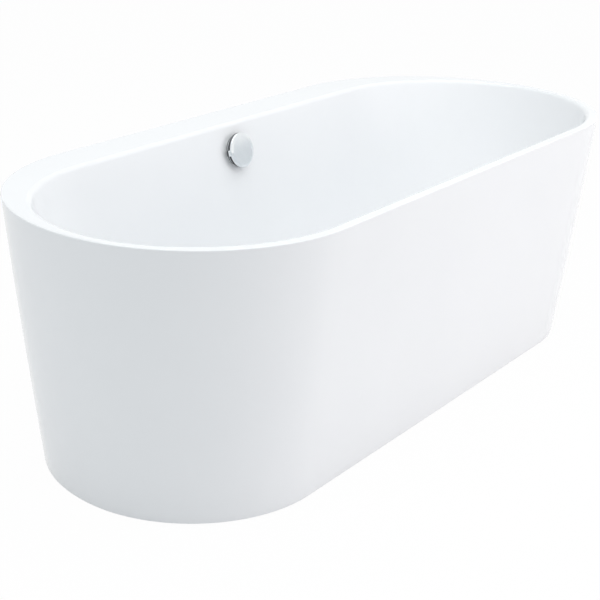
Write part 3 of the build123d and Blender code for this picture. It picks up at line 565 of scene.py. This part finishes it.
lug_length = lug_reach + lug_root
lug_middle = (-(knob_radius + lug_reach) + lug_length / 2, 0, knob_seam + lug_thickness / 2)
bpy.ops.object.select_all(action="DESELECT")
lug_size = (lug_length, lug_width, lug_thickness)
bpy.ops.mesh.primitive_cube_add(size=1, location=lug_middle, scale=lug_size)
lug = bpy.context.object
settle(lug)
bpy.ops.object.mode_set(mode="EDIT")
bpy.context.tool_settings.mesh_select_mode = (False, True, False)
select_edges(
    lambda first, second: abs(first.z - second.z) > lug_thickness / 2 and first.x < lug_middle[0]
)
bpy.ops.mesh.bevel(offset=lug_corner, segments=corner_steps)
bpy.ops.object.mode_set(mode="OBJECT")
apply_modifier(lug, "BEVEL", width=lug_edge, segments=edge_steps)
apply_modifier(knob, "BOOLEAN", operation="UNION", object=lug, solver="EXACT")
bpy.data.objects.remove(lug)

bpy.ops.object.select_all(action="DESELECT")
bpy.ops.mesh.primitive_uv_sphere_add(
    segments=mark_segments,
    ring_count=mark_segments // 2,
    radius=mark_radius,
    location=(mark_place, 0, knob_front + mark_radius - mark_depth),
)
punch = bpy.context.object
apply_modifier(knob, "BOOLEAN", operation="DIFFERENCE", object=punch, solver="EXACT")
bpy.data.objects.remove(punch)

bright_chrome = chrome("bright_chrome")
knob.data.materials.append(bright_chrome)
knob.rotation_euler = wall_turn
knob.location = knob_middle
settle(knob)
smooth(knob)
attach(knob, "knob")
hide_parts("overflow_knob")


def moulded(name, dark, light, low, high, grain=900):
    """Moulded plastic or rubber with a fine even grain and slightly uneven colour."""
    material, tree, shader = surface(name)
    tint = between(tree, noise(tree, scale=18, detail=3), dark, light)
    tree.links.new(tint, shader.inputs["Base Color"])
    tree.links.new(spread(tree, noise(tree, scale=60, detail=3), low, high), shader.inputs["Roughness"])
    bump(tree, shader, noise(tree, scale=grain, detail=2), strength=0.12, distance=0.0002)
    return material


def finish_nodes(names, material):
    """Gives carried-over parts their material."""
    for name in names:
        part = frame["nodes"][name]
        part.data.materials.clear()
        part.data.materials.append(material)


# The carrier's near-black colour is painted shade along the back edge of the knob.
knob_shade_black = moulded("knob_shade_black", (0.045, 0.047, 0.051), (0.065, 0.068, 0.073), 0.3, 0.42)
finish_nodes(["knob_carrier"], knob_shade_black)

# ---- Overflow behind the knob -------------------------------------------------------------------------
# A chromed flange screws through the wall into a white moulded chamber, with a rubber ring on each
# side. The knob's brass spindle runs through both to a small grooved drum under a cover, where the
# cable winds.


def metal(name, dark, light, low, high):
    """Plain metal with cloudy streaks in its colour and gloss."""
    material, tree, shader = surface(name, metallic=1.0)
    tint = between(tree, noise(tree, scale=55, detail=6), dark, light)
    tree.links.new(tint, shader.inputs["Base Color"])
    tree.links.new(spread(tree, noise(tree, scale=130, detail=5), low, high), shader.inputs["Roughness"])
    bump(tree, shader, noise(tree, scale=400, detail=3), strength=0.08, distance=0.0002)
    return material


plain_brass = metal("plain_brass", (0.70, 0.53, 0.26), (0.80, 0.64, 0.35), 0.22, 0.36)
zinc_plate = metal("zinc_plate", (0.60, 0.61, 0.60), (0.75, 0.75, 0.73), 0.28, 0.45)
black_rubber = moulded("black_rubber", (0.022, 0.022, 0.023), (0.045, 0.045, 0.046), 0.62, 0.8)
white_plastic = moulded("white_plastic", (0.76, 0.76, 0.74), (0.82, 0.82, 0.80), 0.35, 0.5)
acetal = moulded("acetal", (0.74, 0.72, 0.65), (0.80, 0.78, 0.71), 0.3, 0.42)
finish_nodes(["overflow_flange"], bright_chrome)
finish_nodes(["overflow_inner_seal", "overflow_outer_seal"], black_rubber)
finish_nodes(["overflow_body", "drive_cover"], white_plastic)
finish_nodes(["knob_spindle"], plain_brass)
finish_nodes(["knob_grub_screw"], zinc_plate)
finish_nodes(["cable_drum"], acetal)

# ---- Waste and plug -----------------------------------------------------------------------------------
# The pop-up plug is a chromed brass cap with a rubber ring and a brass stem. The stem runs in the hub of
# the chromed flange, which screws down into the moulded chamber, where a small lever lifts it.
finish_nodes(["waste_flange", "drain_plug"], bright_chrome)
finish_nodes(["waste_upper_seal", "waste_lower_seal", "plug_seal"], black_rubber)
finish_nodes(["waste_body"], white_plastic)
finish_nodes(["plug_stem"], plain_brass)
finish_nodes(["lift_lever"], acetal)
finish_nodes(["lever_pin"], zinc_plate)

# ---- Trap and outlet ----------------------------------------------------------------------------------
# The bottle trap and its elbow are white moulded pipes, drawn together by dark union nuts. The spigot
# pushes into the drain in the floor.
nut_plastic = moulded("nut_plastic", (0.085, 0.088, 0.095), (0.12, 0.123, 0.13), 0.4, 0.55)
finish_nodes(["trap_head", "trap_bowl", "outlet_elbow"], white_plastic)
finish_nodes(["trap_inlet_nut", "outlet_nut", "hose_upper_nut", "hose_lower_nut"], nut_plastic)
finish_nodes(["trap_seal"], black_rubber)

# ---- Hose and cable -----------------------------------------------------------------------------------
# A soft grey hose leads from the overflow to the waste, and a black sheathed cable carries the knob's
# turn to the lever. Both pass under the back rail, where a moulded clip holds the cable.
hose_grey = moulded("hose_grey", (0.33, 0.34, 0.35), (0.40, 0.41, 0.42), 0.45, 0.6, grain=300)
cable_black = moulded("cable_black", (0.02, 0.02, 0.022), (0.035, 0.035, 0.038), 0.35, 0.5)
finish_nodes(["overflow_hose"], hose_grey)
finish_nodes(["control_cable"], cable_black)
finish_nodes(["cable_clip"], nut_plastic)

# ---- Board, frame and feet ----------------------------------------------------------------------------
# Raw particle board under the floor sits on a welded frame of square steel tube, powder coated grey. The
# frame stands on four zinc-plated studs with black nylon pads, and folded steel angles steady the skirt.
flakes_per_metre = 260


def particle_board(name):
    """Pressed wood chips, in pale and dark brown flakes."""
    material, tree, shader = surface(name)
    flakes = tree.nodes.new("ShaderNodeTexVoronoi")
    flakes.inputs["Scale"].default_value = flakes_per_metre
    place = tree.nodes.new("ShaderNodeTexCoord")
    tree.links.new(place.outputs["Object"], flakes.inputs["Vector"])
    chips = between(tree, flakes.outputs["Distance"], (0.50, 0.36, 0.22), (0.70, 0.55, 0.38))
    tree.links.new(chips, shader.inputs["Base Color"])
    tree.links.new(spread(tree, noise(tree, scale=80, detail=4), 0.7, 0.9), shader.inputs["Roughness"])
    bump(tree, shader, flakes.outputs["Distance"], strength=0.25, distance=0.0004)
    return material


coated_steel = moulded("coated_steel", (0.24, 0.245, 0.25), (0.30, 0.305, 0.31), 0.4, 0.55, grain=1500)
black_nylon = moulded("black_nylon", (0.025, 0.025, 0.027), (0.05, 0.05, 0.052), 0.5, 0.65)
rails = ["long_rail_front", "long_rail_back", "cross_rail_left", "cross_rail_right"]
finish_nodes(rails + ["skirt_brackets"], coated_steel)
finish_nodes(["board_screws", "bracket_screws", "foot_weld_nuts", "foot_lock_nuts"], zinc_plate)
finish_nodes(["base_board"], particle_board("particle_board"))
for side in ("front", "back"):
    for end in ("left", "right"):
        finish_nodes([f"foot_stud_{side}_{end}"], zinc_plate)
        finish_nodes([f"foot_pad_{side}_{end}"], black_nylon)
